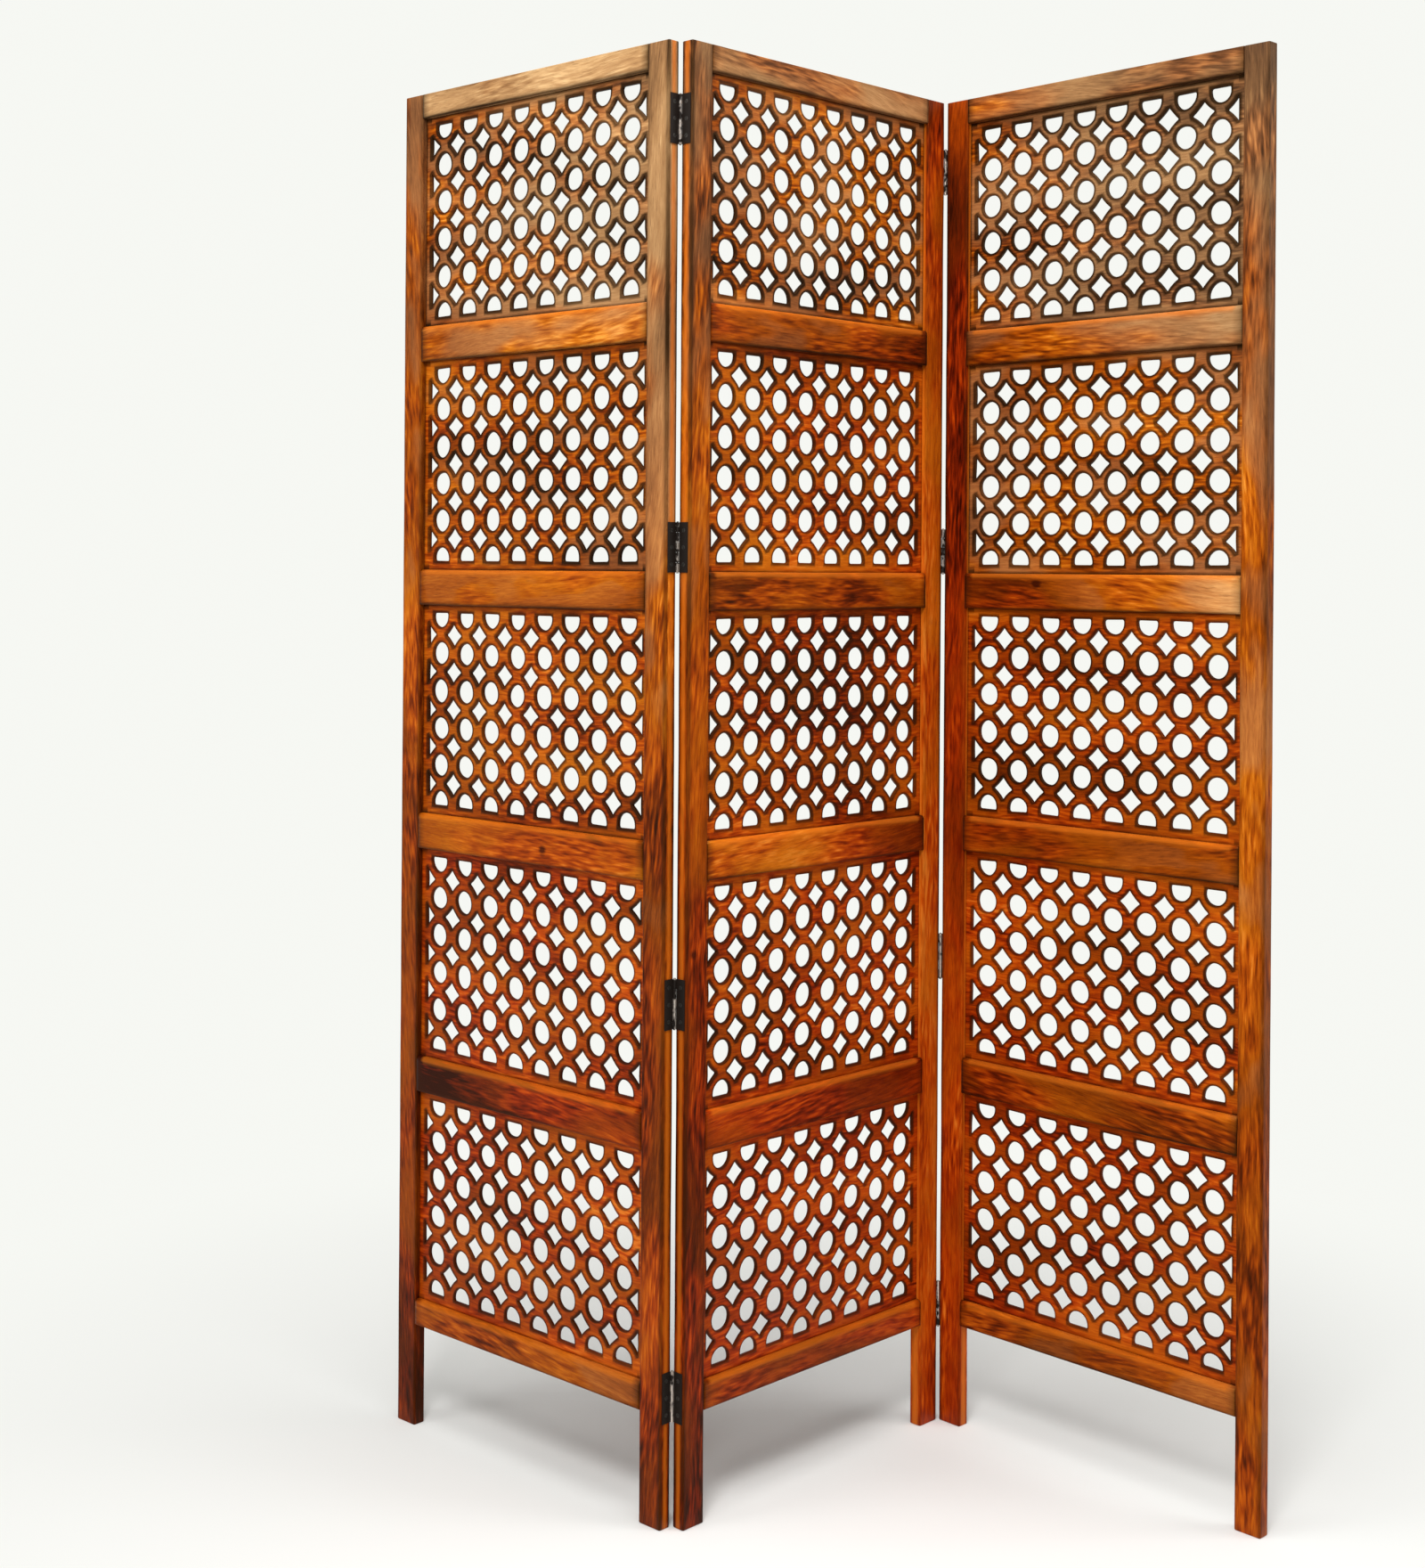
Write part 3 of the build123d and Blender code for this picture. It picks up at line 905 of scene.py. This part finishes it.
def makeBoards(wood):
    noise.seed_set(board["wanderSeed"])  # the clock sets it otherwise
    seed = 0
    for panel in panelNames:
        for name, (x, z, length, width) in boardPlans().items():
            node = f"{panel}_panel_{name}"
            upright = name.endswith("stile")
            edges, easings = [board["railEdge"]] * 4, (0, 0)
            if upright:
                edges = [board["stileEdge"]] * 4
                easings = board["footEasing"], board["topEasing"]
            elif name != "top_rail":
                edges[1] = board["sillEdge"]

            def where(along, across, depth):
                run, rise = (across, along) if upright else (along, across)
                return places[panel] @ Vector((x + run, depth, z + rise))

            rims = burnShadeAndHighlight.get(node, burnShadeAndHighlight.get(name, burnShadeAndHighlight["rail"]))
            mesh = boardMesh(node, where, length, width, edges, rims, easings, seed)
            mesh.materials.append(wood)
            piece = newObject(f"{panel}{name.title().replace('_', '')}", mesh)
            dress(piece, panel, "frame_wood", node)
            seed += 1


# materials

wood = {
    # colours from the darkest level of the grain to the palest, at even steps
    # painted glare on the upper boards and plates, and faded patches where the warm patches dip
    # below 0
    "fadedAndGlare": [
        (0.060, 0.028, 0.0140),
        (0.150, 0.070, 0.0300),
        (0.300, 0.150, 0.0600),
        (0.460, 0.255, 0.1100),
        (0.700, 0.440, 0.2100),
    ],
    "golden": [
        (0.028, 0.004, 0.0006),
        (0.130, 0.020, 0.0008),
        (0.330, 0.062, 0.0014),
        (0.560, 0.145, 0.0050),
        (0.800, 0.290, 0.0350),
    ],
    "red": [
        (0.025, 0.001, 0.0004),
        (0.140, 0.008, 0.0006),
        (0.330, 0.026, 0.0010),
        (0.560, 0.070, 0.0020),
        (0.760, 0.180, 0.0150),
    ],
    # worn is the painted highlight on the sills, the rails' tops and the stiles' inner sides and
    # fold ends
    "worn": (0.720, 0.175, 0.0120),
    "highlightDepth": 0.7,
    # the dark colour of burnt edges, and of the painted shade under the rails, at the fold corners
    # and where the plates meet the frame
    "burnAndShade": (0.012, 0.0040, 0.0015),
    "burnAndShadeRed": (0.040, 0.0050, 0.0010),
    "burnAndShadeBreakup": (0.35, 0.6),
    # clouds of the grain: how fine along it and across it, detail and roughness
    "clouds": {
        "bend": (5, 14, 1.0, 0.5),
        "stain": (3.6, 14, 2.0, 0.45),
        "hue": (7, 17, 2.0, 0.5),
        "streaks": (10, 160, 2.0, 0.55),
        "figure": (34, 220, 1.0, 0.5),
        "fibres": (45, 520, 3.0, 0.65),
        "pores": (60, 1400, 1.0, 0.5),
    },
    "shares": {"stain": 0.66, "streaks": 0.16, "fibres": 0.34},
    "bendReach": 0.012,
    "figureTurn": 35,
    "figurePatches": (0.42, 0.60, 0.10, 0.8),
    "contrast": 0.32,
    "toneShare": 0.35,
    "warmPatches": (0.4, 0.6, -0.3, 0.3),
    "poreRange": (0.60, 0.74),
    "poreDepth": 0.4,
    "knotRange": (0.0085, 0.0035),
    "knotSwirl": 0.010,
    "knotDepth": 0.85,
    "roughness": (0.36, 0.50),
    "specular": 0.14,
    "sheenTint": (1.0, 0.60, 0.15),
    "relief": (0.5, -0.8),
    "bump": {"Strength": 0.35, "Distance": 0.0004},
}

# how the dark rims of sawn and of planed edges reach in, how dark they are, and how red looks
# narrow them
plateRims = {"rimRange": (0.08, 0.62), "rimShare": (0.98, 0.8), "redRim": 0.3}
boardRims = {"rimRange": (0.0, 1.0), "rimShare": (0.95, 0.55), "redRim": 0.0}


def woodMaterial(name, values):
    material = bpy.data.materials.new(name)
    material.use_nodes = True
    tree = material.node_tree
    shader = tree.nodes["Principled BSDF"]
    calc, spread = partial(mathNode, tree), partial(rangeNode, tree)

    def attribute(label):
        return addNode(tree, "ShaderNodeAttribute", attribute_name=label)

    def cloud(name, source, turn=0.0, place=(0, 0, 0)):
        along, across, detail, roughness = values["clouds"][name]
        stretched = addNode(tree, "ShaderNodeMapping", {
            "Vector": source, "Scale": (along, across, across),
            "Rotation": (0, turn, 0), "Location": place,
        }).outputs[0]
        inputs = {"Vector": stretched, "Scale": 1.0, "Detail": detail, "Roughness": roughness}
        return addNode(tree, "ShaderNodeTexNoise", inputs).outputs["Fac"]

    def centred(source, amount):
        return calc("MULTIPLY", calc("SUBTRACT", source, 0.5), amount)

    def blend(amount, first, second):
        node = addNode(tree, "ShaderNodeMix", data_type="RGBA")
        for socket, value in zip((node.inputs[0], *node.inputs[6:8]), (amount, first, second)):
            if isinstance(value, bpy.types.NodeSocket):
                tree.links.new(value, socket)
            else:
                socket.default_value = (*value, 1)
        return node.outputs[2]

    grain = attribute("grain").outputs["Vector"]
    rim, tone, blushAndGlare = (attribute(label).outputs["Fac"] for label in ("rim", "tone", "blushAndGlare"))

    # slow bends of the grain, across the board
    reach = values["bendReach"]
    shift = combineNode(tree, z=spread(cloud("bend", grain), 0, 1, -reach, reach))
    bent = vectorNode(tree, "ADD", grain, shift)[0]

    stain = cloud("stain", grain, place=(3.1, 0, 1.7))
    hue = cloud("hue", grain, place=(7.7, 0, 4.9))
    figure = cloud("figure", bent, turn=math.radians(values["figureTurn"]))
    streaks, fibres, pores = (cloud(name, bent) for name in ("streaks", "fibres", "pores"))

    # the diagonal figure shows in patches only
    mixed = centred(figure, spread(hue, *values["figurePatches"]))
    for name, source in (("stain", stain), ("streaks", streaks), ("fibres", fibres)):
        mixed = calc("ADD", mixed, centred(source, values["shares"][name]))
    mixed = spread(mixed, -values["contrast"], values["contrast"])
    level = calc("ADD", mixed, calc("MULTIPLY", tone, values["toneShare"]), clamp=True)

    def ramp(colours):
        node = addNode(tree, "ShaderNodeValToRGB", {"Fac": level})
        elements = node.color_ramp.elements
        for index in range(1, len(colours) - 1):
            elements.new(index / (len(colours) - 1))
        for element, colour in zip(elements, colours):
            element.color = (*colour, 1)
        return node.outputs[0]

    warmth = calc("ADD", blushAndGlare, spread(hue, *values["warmPatches"]))
    colour = blend(spread(warmth, 0, 1), ramp(values["golden"]), ramp(values["red"]))
    # below 0 the colour goes over to the painted glare
    colour = blend(spread(warmth, 0, -1), colour, ramp(values["fadedAndGlare"]))
    dashes = spread(pores, *values["poreRange"])
    colour = blend(calc("MULTIPLY", dashes, values["poreDepth"]), colour, values["golden"][0])
    away = vectorNode(tree, "LENGTH", attribute("knot").outputs["Vector"])["Value"]
    swirled = calc("ADD", away, centred(figure, values["knotSwirl"]))
    knotted = calc("MULTIPLY", spread(swirled, *values["knotRange"]), values["knotDepth"])
    colour = blend(knotted, colour, values["red"][0])
    # painted highlight (the worn colour) along the sills, the rails' tops and the stiles' inner
    # sides and fold ends; burn along the edges, and painted shade under the rails, at the fold
    # corners and where the plates meet the frame, broken up by the stain
    worn = calc("MULTIPLY", spread(rim, 0, -1), values["highlightDepth"])
    colour = blend(worn, colour, values["worn"])
    narrowing = calc("MULTIPLY", calc("MAXIMUM", blushAndGlare, 0), values["redRim"])
    edge = spread(calc("SUBTRACT", rim, narrowing), *values["rimRange"])
    edge = calc("MULTIPLY", edge, spread(stain, *values["burnAndShadeBreakup"], *values["rimShare"]))
    burnAndShade = blend(spread(warmth, 0, 1), values["burnAndShade"], values["burnAndShadeRed"])
    tree.links.new(blend(edge, colour, burnAndShade), shader.inputs["Base Color"])

    rough = spread(level, 0, 1, values["roughness"][1], values["roughness"][0])
    tree.links.new(rough, shader.inputs["Roughness"])
    shader.inputs["Specular IOR Level"].default_value = values["specular"]
    shader.inputs["Specular Tint"].default_value = (*values["sheenTint"], 1)
    heights = [calc("MULTIPLY", *pair) for pair in zip((fibres, dashes), values["relief"])]
    bump = addNode(tree, "ShaderNodeBump", {"Height": calc("ADD", *heights), **values["bump"]})
    tree.links.new(bump.outputs[0], shader.inputs["Normal"])
    return material


def plainMaterial(name, colour, roughness, specular=0.5, metallic=0.0):
    material = bpy.data.materials.new(name)
    material.use_nodes = True
    shader = material.node_tree.nodes["Principled BSDF"]
    shader.inputs["Base Color"].default_value = (*colour, 1)
    shader.inputs["Roughness"].default_value = roughness
    shader.inputs["Specular IOR Level"].default_value = specular
    shader.inputs["Metallic"].default_value = metallic
    return material


hinge = {
    "iron": (0.010, 0.006, 0.004),
    "worn": (0.62, 0.54, 0.48),
    "roughness": (0.55, 0.30),
    "specular": 0.2,
    "knuckle": (0.0027, 0.0021),
    "patchSize": 0.010,
    "patches": (0.42, 0.56),
}


# black iron, worn bright in patches on the knuckles round the fold's axis
def hingeMaterial(name, axis):
    material = plainMaterial(name, hinge["iron"], hinge["roughness"][0], hinge["specular"])
    tree = material.node_tree
    shader = tree.nodes["Principled BSDF"]
    spread = partial(rangeNode, tree)
    place = tree.nodes.new("ShaderNodeTexCoord").outputs["Object"]
    level = vectorNode(tree, "MULTIPLY", place, (1, 1, 0))[0]
    away = vectorNode(tree, "DISTANCE", level, (axis.x, axis.y, 0))["Value"]
    patches = addNode(tree, "ShaderNodeTexNoise", {
        "Vector": place, "Scale": 1 / hinge["patchSize"], "Detail": 1.0,
    }).outputs["Fac"]
    shares = spread(away, *hinge["knuckle"]), spread(patches, *hinge["patches"])
    worn = mathNode(tree, "MULTIPLY", *shares)
    colour = addNode(tree, "ShaderNodeMix", {
        0: worn, 6: (*hinge["iron"], 1), 7: (*hinge["worn"], 1),
    }, data_type="RGBA").outputs[2]
    tree.links.new(colour, shader.inputs["Base Color"])
    tree.links.new(worn, shader.inputs["Metallic"])
    tree.links.new(spread(worn, 0, 1, *hinge["roughness"]), shader.inputs["Roughness"])
    return material


# camera, light and floor

# angles in degrees; focal length and centre in pixels of the image
camera = {
    "place": (-0.205, -2.790, 1.180),
    "turn": -0.109,
    "tilt": 0.0,
    "roll": 0.383,
    "focal": 2395.3,
    "centre": (740.0, 638.0),
    "image": (1600, 1760),
    "sensor": 36,
    "clip": (0.05, 60),
}

# each light: place, aim, size, power
studio = {
    "surround": (0.925, 0.935, 0.895),
    "ambient": 0.28,
    "floor": (0.86, 0.86, 0.84),
    "floorRoughness": 0.7,
    "floorSize": 14,
    "fade": (0.2, 1.6),
    "lights": {
        "key": ((-0.6, -2.7, 3.3), (0.1, 0, 0.8), (1.0, 1.0), 85),
        "above": ((0.1, -0.6, 3.6), (0, -0.1, 0), (2.6, 1.6), 70),
        "highRight": ((3.0, -0.6, 2.3), (0.1, 0, 1.0), (1.5, 1.5), 30),
        "highLeft": ((-3.0, -1.3, 2.3), (0.3, 0, 1.5), (1.2, 1.2), 20),
    },
}


def makeCamera():
    data = bpy.data.cameras.new("view")
    width, height = camera["image"]
    data.sensor_width = camera["sensor"]
    data.lens = camera["focal"] / height * data.sensor_width
    data.shift_x = (width / 2 - camera["centre"][0]) / height
    data.shift_y = (camera["centre"][1] - height / 2) / height
    data.clip_start, data.clip_end = camera["clip"]
    turn = Matrix.Rotation(math.radians(camera["turn"]), 4, "Z")
    tilt = Matrix.Rotation(math.radians(90 + camera["tilt"]), 4, "X")
    roll = Matrix.Rotation(math.radians(camera["roll"]), 4, "Z")
    eye = newObject("view", data)
    eye.matrix_world = Matrix.Translation(camera["place"]) @ turn @ tilt @ roll
    scene.camera = eye


# the floor fades into the pale surroundings far from the screen
def makeFloor():
    mesh = bpy.data.meshes.new("floor")
    side = studio["floorSize"]
    corners = [(-side, -side, 0), (side, -side, 0), (side, side, 0), (-side, side, 0)]
    mesh.from_pydata(corners, [], [(0, 1, 2, 3)])
    material = plainMaterial("paleFloor", studio["floor"], studio["floorRoughness"])
    tree = material.node_tree
    place = tree.nodes.new("ShaderNodeTexCoord").outputs["Object"]
    distance = vectorNode(tree, "LENGTH", place)["Value"]
    share = rangeNode(tree, distance, *studio["fade"], interpolation_type="SMOOTHSTEP")
    glow = addNode(tree, "ShaderNodeEmission", {"Color": (*studio["surround"], 1)})
    mixed = addNode(tree, "ShaderNodeMixShader", {
        0: share, 1: tree.nodes["Principled BSDF"].outputs[0], 2: glow.outputs[0],
    })
    tree.links.new(mixed.outputs[0], tree.nodes["Material Output"].inputs["Surface"])
    mesh.materials.append(material)
    floor = newObject("floor", mesh)


def areaLight(name, place, aim, size, power):
    data = bpy.data.lights.new(name, "AREA")
    data.shape = "RECTANGLE"
    data.size, data.size_y = size
    data.energy = power
    light = newObject(name, data)
    light.location = place
    light.rotation_euler = (Vector(aim) - Vector(place)).to_track_quat("-Z", "Y").to_euler()


def makeLights():
    world = bpy.data.worlds.new("studio")
    scene.world = world
    world.use_nodes = True
    tree = world.node_tree
    surround = (*studio["surround"], 1)
    seen = tree.nodes["Background"]
    seen.inputs["Color"].default_value = surround
    inputs = {"Color": surround, "Strength": studio["ambient"]}
    lit = addNode(tree, "ShaderNodeBackground", inputs)
    ray = tree.nodes.new("ShaderNodeLightPath").outputs["Is Camera Ray"]
    mixed = addNode(tree, "ShaderNodeMixShader", {0: ray, 1: lit.outputs[0], 2: seen.outputs[0]})
    tree.links.new(mixed.outputs[0], tree.nodes["World Output"].inputs["Surface"])
    for name, values in studio["lights"].items():
        areaLight(name, *values)


# build

scene.view_settings.view_transform = "Standard"
jaliWood = woodMaterial("jaliWood", {**wood, **plateRims})
frameWood = woodMaterial("frameWood", {**wood, **boardRims})
screwSteel = plainMaterial("screwSteel", screw["steel"], screw["roughness"], metallic=1.0)
makeJalis(jaliTree(), jaliWood)
print("jali plates made")
makeBoards(frameWood)
print("frame boards made")
makeScrews(screwTree(), screwSteel)
print("screws made")
for fold in ("left_fold", "right_fold"):
    iron = hingeMaterial(f"{fold}_iron", boxCentre(f"{fold}_pins"))
    for name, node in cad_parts.items():
        if name.startswith(fold):
            node.data.materials.clear()
            node.data.materials.append(iron)
print("hinges blackened")
makeCamera()
makeFloor()
makeLights()
print("camera, floor and lights set")
